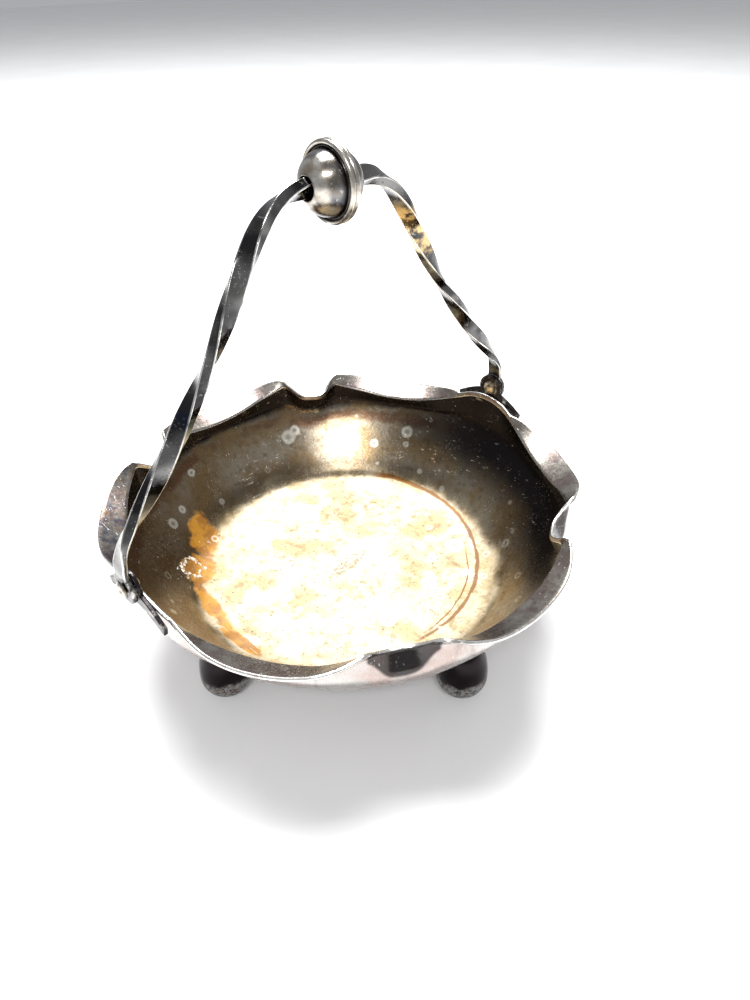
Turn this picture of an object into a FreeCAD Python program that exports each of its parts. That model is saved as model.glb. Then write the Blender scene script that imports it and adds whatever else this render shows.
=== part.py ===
import FreeCAD, Part
import math
import os

# Silver-plated sugar basket: one pressed six-lobed bowl on four ball feet, with a
# twisted swing handle that carries a hollow two-part bead at its top.
# Millimetres, +Z up. Origin: on the table, under the middle of the bowl.
# The handle's pivots lie along X. Angles are measured round Z from +X.

V = FreeCAD.Vector

# ---- bowl -----------------------------------------------------------------
SHEET = 1.1              # thickness of the pressed sheet
FLOOR_Z = 16.6           # inside of the flat floor
FLOOR_R = 36.0           # where the floor starts to turn up
FLOOR_BEND_R = 45.0      # where floor and flared wall would meet if they were sharp
WALL_FOOT_R = 52.0       # where the straight flare of the wall begins
WALL_FOOT_Z = 24.0
BELLY_R = 64.0           # inside radius at the fullest part of the wall
BELLY_Z = 39.3
BELLY_END_DR = 0.7       # the belly is this much fuller at a junction
BELLY_FLAT_IN = 0.4      # and this much flatter behind a lug
LOBE_ANGLE = 60.0        # six lobes
FOLD_MID_R = 61.9        # fold between wall and lip, middle of a lobe
FOLD_MID_Z = 43.6
FOLD_END_DR = 6.5        # how far the fold runs out and up toward a junction
FOLD_END_DZ = 10.6
FOLD_FLATTEN_DEG = 22.0  # from here to the junction the climb dies away
FOLD_BEND = 2.0          # length of wall and of lip that the fold's bend takes
BEND_SHARE = 0.45        # but never more than this share of either
LIP_WIDTH = 7.6          # widest, at the middle of a lobe
LIP_LEAST = 1.0
LIP_TIP_DEG = 23.5       # where the lip has narrowed to its least width beside a notch
LIP_LUG_DEG = 20.5       # the same beside a lug
LIP_BLUNT = 0.75         # below 1 the lip keeps its width longer and ends round
LIP_RISE_DEG = 26.0      # slope of the lip, outward and up
LIP_STAND_DEG = 78.0     # its slope once it has narrowed away

# ---- pinched notches, at four of the six junctions ------------------------
NOTCH_ANGLES = (59.0, 118.5, 240.0, 300.0)
NOTCH_HALF_DEG = 9.0
NOTCH_IN = 4.1           # how far the rim is pushed toward the axis
NOTCH_DOWN = 5.8
NOTCH_FLATNESS = 1.6     # above 1 the bottom of the notch is flatter and its sides steeper
NOTCH_FOOT_HALF_DEG = 6.5  # the notch is narrower and shallower lower down the wall
NOTCH_FOOT_IN = 1.2
NOTCH_FOOT_DOWN = 1.5
DRAW_HALF_DEG = 20.0     # round each notch the whole rim is drawn in and down a little
DRAW_IN = 3.2
DRAW_DOWN = 1.0

# ---- flats for the lugs, at the other two junctions -----------------------
LUG_ANGLES = (0.0, 180.0)
LUG_FLAT_IN = 1.85       # the rim is drawn in here so that the lug can lie flat
LUG_FLAT_HALF_DEG = 13.0

# ---- lugs, rivets and handle ----------------------------------------------
PIVOT_Z = 55.1
LUG_FACE_X = 66.15       # inner face of the lug plate
LUG_THICK = 1.15
EAR_R = 4.26
# Upper and lower edge of one wing, as (distance from the middle, height)
WING = ((3.9, 54.0), (8.5, 52.0), (12.9, 49.4), (12.2, 47.0), (8.0, 48.7), (3.9, 49.8))
EYE_GAP = 0.35
EYE_THICK = 1.3
EYE_R = 4.3
RIVET_R = 1.25
RIVET_FIT = 0.03         # radial gap in the lug
EYE_FIT = 0.06           # radial gap in the handle's eye
HEAD_R = 2.35
HEAD_H = 1.05
HEAD_PLAY = 0.3

BAR_WIDE = 4.1           # the twisted bar's section
BAR_THIN = 2.5
BAR_EDGE = 0.35          # softened corners
BAR_TURNS = 2.5          # twist of the whole bar, left-handed, in full turns
BAR_SECTIONS = 41
BAR_FLAT_RUN = 5.0       # length at each end that is flat and untwisted
BAR_BLEND_RUN = 9.0      # length over which it grows to its full section
BAR_END_WIDE = 4.9
BAR_END_THIN = 1.2
# Outline of one arm in its plane, from the eye up: (distance from the axis, height)
ARM_PATH = ((68.3, 57.4), (68.2, 61.4), (66.2, 66.4), (62.0, 71.4), (52.8, 81.2), (44.5, 91.2),
            (36.3, 101.6), (29.2, 112.2), (22.4, 122.6), (17.0, 128.2), (11.0, 130.7), (0.0, 130.9))

# ---- bead -----------------------------------------------------------------
BEAD_Z = 130.9
BEAD_R = 8.75            # rolled outer edge of the flange
BEAD_DOME_R = 7.15
BEAD_DOME_H = 7.6
BEAD_SKIN = 0.8
BEAD_HOLE_R = 2.55
BEAD_EDGE_R = 0.65
BEAD_SEAM = 0.02         # half the gap between the two flanges
BEAD_FOOT_X = 1.1        # where the dome runs into the flange
BEAD_GROOVE = (0.75, 7.4)      # bottom of the groove round the dome, as (along the bar, radius)
BEAD_GROOVE_SIDE = (1.1, 7.62)
BEAD_ROLL = (1.02, 8.55)       # middle of the rolled edge
CURVE_STEPS = 12

# ---- feet -----------------------------------------------------------------
FOOT_ANGLES = (0.0, 90.0, 180.0, 270.0)
FOOT_RING_R = 48.3
FOOT_BALL_R = 7.36
FOOT_FLAT = 0.16         # worn flat under each ball
FOOT_SHOULDER = 15.0     # half-height of the oval that the upper half follows
FOOT_TOP = 14.4          # height above the ball's middle where the oval is cut off
FOOT_SOLDER = 0.03       # gap between foot and bowl, filled by solder
OVAL_STEPS = 8

# ---- surface sampling -----------------------------------------------------
ROWS = 30
NEAR_STEP = 0.9          # degrees between sections near a junction
NEAR_HALF = 10.0
FAR_STEPS = 14
SMALL_DEG = 0.05         # steps used to find the direction through the sheet
SMALL_U = 0.0005


def folded_angle(theta):
    """Angle from the middle of the lobe that theta lies in."""
    return (theta % LOBE_ANGLE) - LOBE_ANGLE / 2.0


def angle_from(theta, centre):
    return (theta - centre + 180.0) % 360.0 - 180.0


def climb(t):
    """0 at the middle of a lobe, growing as the square, flat at the junction."""
    a = abs(t)
    half = LOBE_ANGLE / 2.0
    if a <= FOLD_FLATTEN_DEG:
        return (a / half) ** 2
    slope = 2.0 * FOLD_FLATTEN_DEG / half ** 2
    run = half - FOLD_FLATTEN_DEG
    u = a - FOLD_FLATTEN_DEG
    return (FOLD_FLATTEN_DEG / half) ** 2 + slope * (u - u * u / (2.0 * run))


def notch_distance(theta):
    """Degrees to the nearest notch."""
    return min(abs(angle_from(theta, centre)) for centre in NOTCH_ANGLES)


def pinch(theta, half=NOTCH_HALF_DEG):
    """1 in the middle of a notch, 0 outside it; a round-bottomed dip."""
    d = notch_distance(theta)
    if d >= half:
        return 0.0
    return 0.5 + 0.5 * math.cos(math.pi * (d / half) ** NOTCH_FLATNESS)


def draw(theta):
    """1 in the middle of the drawn-in stretch round a notch, fading to 0."""
    d = notch_distance(theta)
    if d >= DRAW_HALF_DEG:
        return 0.0
    return 0.5 + 0.5 * math.cos(math.pi * d / DRAW_HALF_DEG)


def lug_flat(theta):
    """1 where a lug is soldered on, fading to 0 on both sides."""
    for centre in LUG_ANGLES:
        d = abs(angle_from(theta, centre))
        if d < LUG_FLAT_HALF_DEG:
            return 0.5 + 0.5 * math.cos(math.pi * d / LUG_FLAT_HALF_DEG)
    return 0.0


def lip_fullness(theta):
    """1 where the lip is widest, 0 where it has narrowed away."""
    t = abs(folded_angle(theta))
    junction = (round(theta / LOBE_ANGLE) * LOBE_ANGLE) % 360.0
    if junction in LUG_ANGLES:
        return max(0.0, 1.0 - (t / LIP_LUG_DEG) ** 2)
    return max(0.0, 1.0 - (t / LIP_TIP_DEG) ** 2) ** LIP_BLUNT


def control_points(theta):
    """Corners of the inside profile at this angle, as (radius, height)."""
    s = climb(folded_angle(theta))
    p = pinch(theta)
    foot = pinch(theta, NOTCH_FOOT_HALF_DEG)
    pull = draw(theta)
    flat = lug_flat(theta)
    fold_r = FOLD_MID_R + FOLD_END_DR * s - NOTCH_IN * p - DRAW_IN * pull - LUG_FLAT_IN * flat
    fold_z = FOLD_MID_Z + FOLD_END_DZ * s - NOTCH_DOWN * p - DRAW_DOWN * pull
    full = lip_fullness(theta)
    width = LIP_LEAST + (LIP_WIDTH - LIP_LEAST) * full
    slope = math.radians(LIP_RISE_DEG + (LIP_STAND_DEG - LIP_RISE_DEG) * (1.0 - full) ** 2)
    belly_r = BELLY_R + BELLY_END_DR * s - NOTCH_FOOT_IN * foot - BELLY_FLAT_IN * flat
    belly_z = BELLY_Z - NOTCH_FOOT_DOWN * foot
    run_r = fold_r - belly_r
    run_z = fold_z - belly_z
    length = math.hypot(run_r, run_z)
    back = min(FOLD_BEND / length, BEND_SHARE)
    bend = min(FOLD_BEND, BEND_SHARE * width)
    ahead_r = math.cos(slope)
    ahead_z = math.sin(slope)
    return ((FLOOR_R, FLOOR_Z),
            (FLOOR_BEND_R, FLOOR_Z),
            (WALL_FOOT_R, WALL_FOOT_Z),
            (belly_r, belly_z),
            (fold_r - run_r * back, fold_z - run_z * back),
            (fold_r, fold_z),
            (fold_r + bend * ahead_r, fold_z + bend * ahead_z),
            (fold_r + width * ahead_r, fold_z + width * ahead_z))


def profile(theta, u):
    """Point (radius, height) on the inside; u runs 0 to 1 from floor to lip."""
    c = control_points(theta)
    spans = len(c) - 2
    x = min(max(u, 0.0), 1.0) * spans
    i = min(int(x), spans - 1)
    f = x - i
    first = c[i] if i == 0 else ((c[i][0] + c[i + 1][0]) / 2.0, (c[i][1] + c[i + 1][1]) / 2.0)
    middle = c[i + 1]
    if i == spans - 1:
        last = c[i + 2]
    else:
        last = ((c[i + 1][0] + c[i + 2][0]) / 2.0, (c[i + 1][1] + c[i + 2][1]) / 2.0)
    w = ((1.0 - f) ** 2, 2.0 * f * (1.0 - f), f * f)
    return (w[0] * first[0] + w[1] * middle[0] + w[2] * last[0],
            w[0] * first[1] + w[1] * middle[1] + w[2] * last[1])


def inside_point(theta, u):
    r, z = profile(theta, u)
    a = math.radians(theta)
    return V(r * math.cos(a), r * math.sin(a), z)


def outside_point(theta, u, thickness=SHEET):
    """The inside point moved through the sheet's thickness, away from the hollow."""
    if u <= 0.0:
        return inside_point(theta, 0.0) - V(0, 0, thickness)
    low = max(u - SMALL_U, 0.0)
    high = min(u + SMALL_U, 1.0)
    along = inside_point(theta + SMALL_DEG, u) - inside_point(theta - SMALL_DEG, u)
    up = inside_point(theta, high) - inside_point(theta, low)
    n = along.cross(up)
    n.normalize()
    return inside_point(theta, u) + n * thickness


def sampling_angles():
    """Angles of the sections: close together near the junctions."""
    steps = int(round(NEAR_HALF / NEAR_STEP))
    one = [NEAR_HALF * i / steps for i in range(steps)]
    span = LOBE_ANGLE - 2.0 * NEAR_HALF
    one += [NEAR_HALF + span * i / FAR_STEPS for i in range(FAR_STEPS)]
    one += [LOBE_ANGLE - NEAR_HALF + NEAR_HALF * i / steps for i in range(steps)]
    angles = []
    for k in range(6):
        angles += [(k + 0.5) * LOBE_ANGLE + a for a in shifted(one)]
    return angles


def shifted(one):
    """The same sections, started from the middle of a lobe."""
    half = LOBE_ANGLE / 2.0
    later = sorted((a - half) % LOBE_ANGLE for a in one)
    return later


def skin(point):
    """Smooth closed surface that follows the profiles all the way round."""
    poles = [[point(theta, j / (ROWS - 1.0)) for j in range(ROWS)] for theta in sampling_angles()]
    around = len(poles)
    spans = ROWS - 3
    surface = Part.BSplineSurface()
    surface.buildFromPolesMultsKnots(poles, [1] * (around + 1), [4] + [1] * (spans - 1) + [4],
                                     [float(i) for i in range(around + 1)],
                                     [float(i) for i in range(spans + 1)], True, False, 3, 3)
    return surface


def rim_edge(surface, top):
    u0, u1, v0, v1 = surface.bounds()
    return surface.vIso(v1 if top else v0).toShape()


def make_bowl(thickness=SHEET):
    inner = skin(inside_point)
    outer = skin(lambda theta, u: outside_point(theta, u, thickness))
    faces = [inner.toShape(), outer.toShape()]
    faces.append(Part.makeRuledSurface(rim_edge(inner, True), rim_edge(outer, True)))
    for surface in (inner, outer):
        faces.append(Part.Face(Part.Wire([rim_edge(surface, False)])))
    shell = Part.Shell(faces)
    shell.sewShape()
    solid = Part.Solid(Part.Shell(shell.Faces))
    if solid.Volume < 0:
        solid.reverse()
    return solid


def turned(shape, degrees):
    out = shape.copy()
    out.rotate(V(0, 0, 0), V(0, 0, 1), degrees)
    return out


def make_foot(angle, sheet):
    """Ball foot whose upper half is drawn out into an oval that meets the bowl."""
    centre_z = FOOT_BALL_R - FOOT_FLAT
    half_flat = math.sqrt(FOOT_BALL_R ** 2 - centre_z ** 2)
    low = FOOT_BALL_R * math.sqrt(0.5)
    ball = Part.Arc(V(half_flat, 0, 0), V(low, 0, centre_z - low), V(FOOT_BALL_R, 0, centre_z)).toShape()
    oval = []
    end = math.asin(FOOT_TOP / FOOT_SHOULDER)
    for i in range(OVAL_STEPS + 1):
        a = end * i / OVAL_STEPS
        oval.append(V(FOOT_BALL_R * math.cos(a), 0, centre_z + FOOT_SHOULDER * math.sin(a)))
    side = Part.BSplineCurve()
    side.interpolate(oval, InitialTangent=V(0, 0, 1), FinalTangent=oval[-1] - oval[-2])
    top = V(0, 0, oval[-1].z)
    edges = [Part.makeLine(V(0, 0, 0), V(half_flat, 0, 0)), ball, side.toShape(),
             Part.makeLine(oval[-1], top), Part.makeLine(top, V(0, 0, 0))]
    foot = Part.Face(Part.Wire(edges)).revolve(V(0, 0, 0), V(0, 0, 1), 360)
    if foot.Volume < 0:
        foot.reverse()
    foot.translate(V(FOOT_RING_R, 0, 0))
    pieces = turned(foot, angle).cut(sheet).Solids
    return min(pieces, key=lambda piece: piece.BoundBox.ZMin)


def mirrored_for(shape, side):
    return shape if side > 0 else turned(shape, 180)


def plate(points, x, thick):
    """Flat plate in the YZ plane with this outline, from x outward."""
    wire = Part.makePolygon([V(x, y, z) for y, z in points] + [V(x, points[0][0], points[0][1])])
    return Part.Face(wire).extrude(V(thick, 0, 0))


def make_lug(side):
    """Round ear with two wings that lie along the outside of the rim."""
    both = list(WING) + [(-y, z) for y, z in reversed(WING)]
    body = plate(both, LUG_FACE_X, LUG_THICK)
    ear = Part.makeCylinder(EAR_R, LUG_THICK, V(LUG_FACE_X, 0, PIVOT_Z), V(1, 0, 0))
    hole = Part.makeCylinder(RIVET_R + RIVET_FIT, LUG_THICK + 2, V(LUG_FACE_X - 1, 0, PIVOT_Z), V(1, 0, 0))
    return mirrored_for(body.fuse(ear).removeSplitter().cut(hole), side)


def dome(x, outward):
    """Domed rivet head whose flat back is at x."""
    ball_r = (HEAD_R ** 2 + HEAD_H ** 2) / (2.0 * HEAD_H)
    centre = x + outward * (HEAD_H - ball_r)
    ball = Part.makeSphere(ball_r, V(centre, 0, PIVOT_Z))
    start = x if outward > 0 else x - 3.0
    keep = Part.makeBox(3.0, 12, 12, V(start, -6, PIVOT_Z - 6))
    return ball.common(keep)


def make_rivet(side):
    inner = LUG_FACE_X - 0.02
    outer = LUG_FACE_X + LUG_THICK + EYE_GAP + EYE_THICK + HEAD_PLAY
    shank = Part.makeCylinder(RIVET_R, outer - inner, V(inner, 0, PIVOT_Z), V(1, 0, 0))
    rivet = shank.fuse([dome(inner, -1), dome(outer, 1)]).removeSplitter()
    return mirrored_for(rivet, side)


def bar_curve():
    """Middle line of the whole bar, from the eye on -X over the top to the eye on +X."""
    right = [V(r, 0, z) for r, z in ARM_PATH]
    left = [V(-r, 0, z) for r, z in ARM_PATH[:-1]]
    curve = Part.BSplineCurve()
    curve.interpolate(left + list(reversed(right)))
    return curve


def smooth(x):
    x = min(max(x, 0.0), 1.0)
    return x * x * (3.0 - 2.0 * x)


def bar_section(centre, along, twist, wide_half, thin_half):
    """Outline of the bar across its length, turned by twist about it."""
    side = V(0, 1, 0)
    out = side.cross(along)
    out.normalize()
    c, s = math.cos(twist), math.sin(twist)
    wide = side * c + out * s
    thin = out * c - side * s
    e = BAR_EDGE
    a, b = wide_half, thin_half
    corners = []
    for m, n in ((a, b - e), (a - e, b), (-a + e, b), (-a, b - e),
                 (-a, -b + e), (-a + e, -b), (a - e, -b), (a, -b + e)):
        corners.append(centre + wide * m + thin * n)
    return Part.makePolygon(corners + [corners[0]])


def make_bar():
    """Twisted bar with a flat round eye at each end."""
    curve = bar_curve()
    length = curve.length()
    wires = []
    for i in range(BAR_SECTIONS):
        run = length * i / (BAR_SECTIONS - 1.0)
        u = curve.parameterAtDistance(run, curve.FirstParameter)
        near = min(run, length - run)
        full = smooth((near - BAR_FLAT_RUN) / BAR_BLEND_RUN)
        turn = (run - BAR_FLAT_RUN) / (length - 2.0 * BAR_FLAT_RUN)
        twist = 2.0 * math.pi * BAR_TURNS * min(max(turn, 0.0), 1.0)
        wide = BAR_END_WIDE + (BAR_WIDE - BAR_END_WIDE) * full
        thin = BAR_END_THIN + (BAR_THIN - BAR_END_THIN) * full
        wires.append(bar_section(curve.value(u), curve.tangent(u)[0], twist, wide / 2.0, thin / 2.0))
    bar = Part.makeLoft(wires, True, False)
    inner = LUG_FACE_X + LUG_THICK + EYE_GAP
    eye = Part.makeCylinder(EYE_R, EYE_THICK, V(inner, 0, PIVOT_Z), V(1, 0, 0))
    hole = Part.makeCylinder(RIVET_R + EYE_FIT, EYE_THICK + 2, V(inner - 1, 0, PIVOT_Z), V(1, 0, 0))
    ring = eye.cut(hole)
    return bar.fuse([mirrored_for(ring, 1), mirrored_for(ring, -1)])


def dome_curve(height, radius, from_r, to_x):
    """Quarter-oval from the hole's edge down to the flange."""
    start = math.asin(from_r / radius)
    end = math.acos(to_x / height)
    points = []
    for i in range(CURVE_STEPS + 1):
        a = start + (end - start) * i / CURVE_STEPS
        points.append(V(height * math.cos(a), 0, radius * math.sin(a)))
    curve = Part.BSplineCurve()
    curve.interpolate(points)
    return curve.toShape(), points[0], points[-1]


def make_bead_half(side):
    """Half of the bead: a stamped dome with a rolled flange, turned about the bar."""
    outer, o_top, o_foot = dome_curve(BEAD_DOME_H, BEAD_DOME_R, BEAD_HOLE_R, BEAD_FOOT_X)
    inner, i_top, i_foot = dome_curve(BEAD_DOME_H - BEAD_SKIN, BEAD_DOME_R - BEAD_SKIN,
                                      BEAD_HOLE_R, BEAD_SEAM)
    groove = V(BEAD_GROOVE[0], 0, BEAD_GROOVE[1])
    groove_side = V(BEAD_GROOVE_SIDE[0], 0, BEAD_GROOVE_SIDE[1])
    roll = V(BEAD_ROLL[0], 0, BEAD_ROLL[1])
    crest = V(2.0 * BEAD_EDGE_R, 0, BEAD_R - BEAD_EDGE_R)
    edge = V(BEAD_SEAM, 0, BEAD_R)
    edges = [inner,
             Part.makeLine(i_top, o_top),
             outer,
             Part.makeLine(o_foot, groove),
             Part.Arc(groove, groove_side, crest).toShape(),
             Part.Arc(crest, roll, edge).toShape(),
             Part.makeLine(edge, i_foot)]
    face = Part.Face(Part.Wire(Part.__sortEdges__(edges)))
    half = face.revolve(V(0, 0, 0), V(1, 0, 0), 360)
    half.translate(V(0, 0, BEAD_Z))
    return mirrored_for(half, side)


def check(name, shape):
    solid = shape.Solids[0] if len(shape.Solids) == 1 else shape
    box = solid.BoundBox
    print("%-16s valid %s solids %d volume %.1f box %.2f %.2f %.2f to %.2f %.2f %.2f" % (
        name, solid.isValid(), len(shape.Solids), solid.Volume,
        box.XMin, box.YMin, box.ZMin, box.XMax, box.YMax, box.ZMax))
    return solid


def all_parts():
    parts = {"bowl": make_bowl()}
    sheet = make_bowl(SHEET + FOOT_SOLDER)
    for number, angle in enumerate(FOOT_ANGLES, 1):
        parts["foot_%d" % number] = make_foot(angle, sheet)
    for name, side in (("right", 1), ("left", -1)):
        parts["lug_" + name] = make_lug(side)
        parts["rivet_" + name] = make_rivet(side)
        parts["bead_half_" + name] = make_bead_half(side)
    parts["handle_bar"] = make_bar()
    return parts


if __name__ == "__main__":
    os.makedirs("parts", exist_ok=True)
    for part_name, part_shape in all_parts().items():
        check(part_name, part_shape).exportStep("parts/%s.step" % part_name)
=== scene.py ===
import math

import bmesh
import bpy
from mathutils import Matrix, Vector, noise


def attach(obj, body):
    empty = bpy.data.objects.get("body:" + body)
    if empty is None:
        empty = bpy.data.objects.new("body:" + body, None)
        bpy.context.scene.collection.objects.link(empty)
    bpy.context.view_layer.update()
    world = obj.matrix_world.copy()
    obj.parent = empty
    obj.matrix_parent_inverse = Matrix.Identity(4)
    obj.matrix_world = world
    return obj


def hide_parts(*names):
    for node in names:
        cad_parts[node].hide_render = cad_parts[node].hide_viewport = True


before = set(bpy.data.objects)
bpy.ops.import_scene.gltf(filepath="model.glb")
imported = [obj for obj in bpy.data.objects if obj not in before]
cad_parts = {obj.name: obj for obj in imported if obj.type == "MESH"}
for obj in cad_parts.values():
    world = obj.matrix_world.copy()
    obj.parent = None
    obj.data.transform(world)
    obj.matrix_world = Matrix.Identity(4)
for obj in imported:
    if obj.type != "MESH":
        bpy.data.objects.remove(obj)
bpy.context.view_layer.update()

# Everything below is worked out in millimetres and turned into metres as a mesh is made.
MM = 0.001

# ---- bowl: the inside profile, as in the CAD model ---------------------------
SHEET = 1.1
FLOOR_Z = 16.6
FLOOR_R = 36.0
FLOOR_BEND_R = 45.0
WALL_FOOT_R = 52.0
WALL_FOOT_Z = 24.0
BELLY_R = 64.0
BELLY_Z = 39.3
BELLY_END_DR = 0.7
BELLY_FLAT_IN = 0.4
LOBE_ANGLE = 60.0
FOLD_MID_R = 61.9
FOLD_MID_Z = 43.6
FOLD_END_DR = 6.5
FOLD_END_DZ = 10.6
FOLD_FLATTEN_DEG = 22.0
FOLD_BEND = 2.0
BEND_SHARE = 0.45
LIP_WIDTH = 7.6
LIP_LEAST = 1.0
LIP_TIP_DEG = 23.5
LIP_LUG_DEG = 20.5
LIP_BLUNT = 0.75
LIP_RISE_DEG = 26.0
LIP_STAND_DEG = 78.0
NOTCH_ANGLES = (59.0, 118.5, 240.0, 300.0)
NOTCH_HALF_DEG = 9.0
NOTCH_IN = 4.1
NOTCH_DOWN = 5.8
NOTCH_FLATNESS = 1.6
NOTCH_FOOT_HALF_DEG = 6.5
NOTCH_FOOT_IN = 1.2
NOTCH_FOOT_DOWN = 1.5
DRAW_HALF_DEG = 20.0
DRAW_IN = 3.2
DRAW_DOWN = 1.0
LUG_ANGLES = (0.0, 180.0)
LUG_FLAT_IN = 1.85
LUG_FLAT_HALF_DEG = 13.0

# ---- lugs, rivets, handle, bead and feet, as in the CAD model -----------------
PIVOT_Z = 55.1
LUG_FACE_X = 66.15
LUG_THICK = 1.15
EAR_R = 4.26
EYE_GAP = 0.35
EYE_THICK = 1.3
EYE_R = 4.3
HEAD_R = 2.35
HEAD_H = 1.05
HEAD_PLAY = 0.3
RIVET_R = 1.25
BAR_WIDE = 4.1
BAR_THIN = 2.5
BAR_TURNS = 2.5
BAR_CORNER = 0.30
BAR_FLAT_RUN = 5.0
BAR_BLEND_RUN = 9.0
BAR_END_WIDE = 4.9
BAR_END_THIN = 1.2
ARM_PATH = ((68.3, 57.4), (68.2, 61.4), (66.2, 66.4), (62.0, 71.4), (52.8, 81.2), (44.5, 91.2),
            (36.3, 101.6), (29.2, 112.2), (22.4, 122.6), (17.0, 128.2), (11.0, 130.7), (0.0, 130.9))
BEAD_Z = 130.9
BEAD_R = 8.75
BEAD_DOME_R = 7.15
BEAD_DOME_H = 7.6
BEAD_HOLE_R = 2.55
FOOT_RING_R = 48.3
FOOT_BALL_R = 7.36
FOOT_FLAT = 0.16
FOOT_SHOULDER = 15.0
FOOT_ANGLES = (0.0, 90.0, 180.0, 270.0)
WING = ((3.9, 54.0), (8.5, 52.0), (12.9, 49.4), (12.2, 47.0), (8.0, 48.7), (3.9, 49.8))
BEAD_SKIN = 0.8
BEAD_SEAM = 0.02
BEAD_EDGE_R = 0.65
SOLDER_GAP = 0.03

# ---- camera -------------------------------------------------------------------
CAMERA_AZIMUTH = -43.8
CAMERA_ELEVATION = 38.9
CAMERA_DISTANCE = 213.5
CAMERA_ROLL = 0.66
CAMERA_TARGET = (6.4, -6.2, 37.5)
CAMERA_LENS = 25.6
CAMERA_SHIFT = 0.0158

# ---- solder ---------------------------------------------------------------------
COLLAR_R = 0.5
LUG_SOLDER_HALF = 6.5

# ---- colours, linear RGB ----------------------------------------------------------
FILM_LIGHT = (0.66, 0.56, 0.39)
FILM_TAN = (0.46, 0.36, 0.19)
FILM_BROWN = (0.22, 0.15, 0.07)
FILM_PALE = (0.78, 0.70, 0.55)
SPECK = (0.035, 0.028, 0.022)
WALL_BROWN = (0.26, 0.18, 0.095)
WALL_GREY = (0.34, 0.29, 0.22)
WALL_DEEP = (0.09, 0.065, 0.04)
WALL_AMBER = (0.13, 0.075, 0.028)
# WALL_BLACK: near-black used for painted dark reflection and painted shade, and for darker patches low on the bead
WALL_BLACK = (0.016, 0.013, 0.014)
COPPER = (0.13, 0.058, 0.026)
LIP_GREY = (0.36, 0.335, 0.30)
LIP_MAUVE = (0.25, 0.205, 0.19)
LIP_BROWN = (0.13, 0.10, 0.075)
LIP_BLUE = (0.06, 0.07, 0.12)
LIP_RUST = (0.30, 0.16, 0.06)
OUTER_GREY = (0.50, 0.48, 0.46)
OUTER_MAUVE = (0.42, 0.34, 0.31)
OUTER_DARK = (0.20, 0.17, 0.155)
BARE_SILVER = (0.86, 0.84, 0.80)
RING_PALE = (0.80, 0.76, 0.66)
AMBER = (0.47, 0.21, 0.010)
AMBER_DEEP = (0.30, 0.115, 0.006)
ARC_BROWN = (0.17, 0.065, 0.009)
CRUST_WHITE = (0.82, 0.78, 0.70)
SMUDGE_GREY = (0.10, 0.085, 0.06)
# painted dark reflection for the handle bar's faces
HANDLE_DARK_REFLECTION = (0.035, 0.034, 0.036)
HANDLE_GREY = (0.20, 0.195, 0.19)
HANDLE_BLUE = (0.018, 0.026, 0.055)
HANDLE_GREEN = (0.03, 0.075, 0.028)
BRASS_WORN = (0.66, 0.48, 0.24)
BEAD_LIGHT = (0.60, 0.57, 0.52)
BEAD_RING_REFLECTION = (0.055, 0.058, 0.075)
BEAD_WARM = (0.36, 0.31, 0.24)
FOOT_GREY = (0.34, 0.33, 0.32)
FOOT_DARK = (0.05, 0.048, 0.047)
FOOT_RUST = (0.20, 0.10, 0.06)
RIVET_BRASS = (0.68, 0.58, 0.40)
RIVET_SILVER = (0.66, 0.63, 0.56)
RIVET_BROWN = (0.22, 0.14, 0.08)
LUG_LIGHT = (0.30, 0.28, 0.26)
LUG_DARK = (0.035, 0.032, 0.034)
EYE_LIGHT = (0.58, 0.56, 0.53)
EYE_DARK = (0.10, 0.095, 0.09)
SOLDER_LIGHT = (0.30, 0.28, 0.26)
SOLDER_DARK = (0.06, 0.055, 0.05)

# ---- stains, in millimetres on the bowl ---------------------------------------------
# Rings of dried drops: (x, y, z, radius)
WATER_SPOTS = ((-7, -25, 16.6, 2.7), (32, -17, 16.6, 3.2), (-34, 44, 28.7, 2.0), (24, -9, 16.6, 1.9),
               (29, -9, 16.6, 1.9), (22, -16, 16.6, 1.8), (25, -28, 16.6, 1.6), (-35, 9, 16.6, 1.9),
               (-34, -14, 16.6, 3.0), (-28, 48, 28.9, 1.6), (21, 54, 31.6, 2.6), (24, 54, 33.1, 2.0),
               (44, 33, 28.1, 1.7), (53, 25, 32.4, 2.2), (39, -32, 22.4, 1.8), (-18, 57, 33.8, 1.5))
# Residue: ovals as (x, y, half length, half width, direction)
AMBER_BLOTS = ((-27, 40, 8.5, 4.5, 57), (-35, 30, 8.0, 4.6, 45), (-41, 15, 12.0, 2.7, 82), (-43, -2, 9.0, 2.2, 96))
# Thin rings of residue: (centre x, y, radius, half width, middle direction, cosine of half the arc)
BROWN_ARCS = ((3.5, 4.5, 42.3, 0.75, -32.5, 0.33), (2.0, 3.0, 39.2, 0.32, -64.0, 0.81))
CRUST_AT = (-37, 31, 4.6, 2.6, 35)
SMUDGE_AT = (1.8, 1.1, 8.6, 2.4, 8)

# ---- light ------------------------------------------------------------------------
WORLD_COLOUR = (0.95, 0.97, 1.0, 1.0)
WORLD_STRENGTH = 0.42
# (name, place, aimed at, width, depth, power), metres and watts
LIGHTS = (("overhead", (0.25, 0.35, 1.2), (0.0, 0.0, 0.0), 0.7, 0.7, 34.0),
          ("front_high", (-0.39, -0.42, 0.68), (0.03, 0.03, 0.03), 0.34, 0.10, 3.0))


# ================================ geometry =====================================

def folded_angle(theta):
    return (theta % LOBE_ANGLE) - LOBE_ANGLE / 2.0


def angle_from(theta, centre):
    return (theta - centre + 180.0) % 360.0 - 180.0


def climb(t):
    a = abs(t)
    half = LOBE_ANGLE / 2.0
    if a <= FOLD_FLATTEN_DEG:
        return (a / half) ** 2
    slope = 2.0 * FOLD_FLATTEN_DEG / half ** 2
    run = half - FOLD_FLATTEN_DEG
    u = a - FOLD_FLATTEN_DEG
    return (FOLD_FLATTEN_DEG / half) ** 2 + slope * (u - u * u / (2.0 * run))


def notch_distance(theta):
    return min(abs(angle_from(theta, centre)) for centre in NOTCH_ANGLES)


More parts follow.
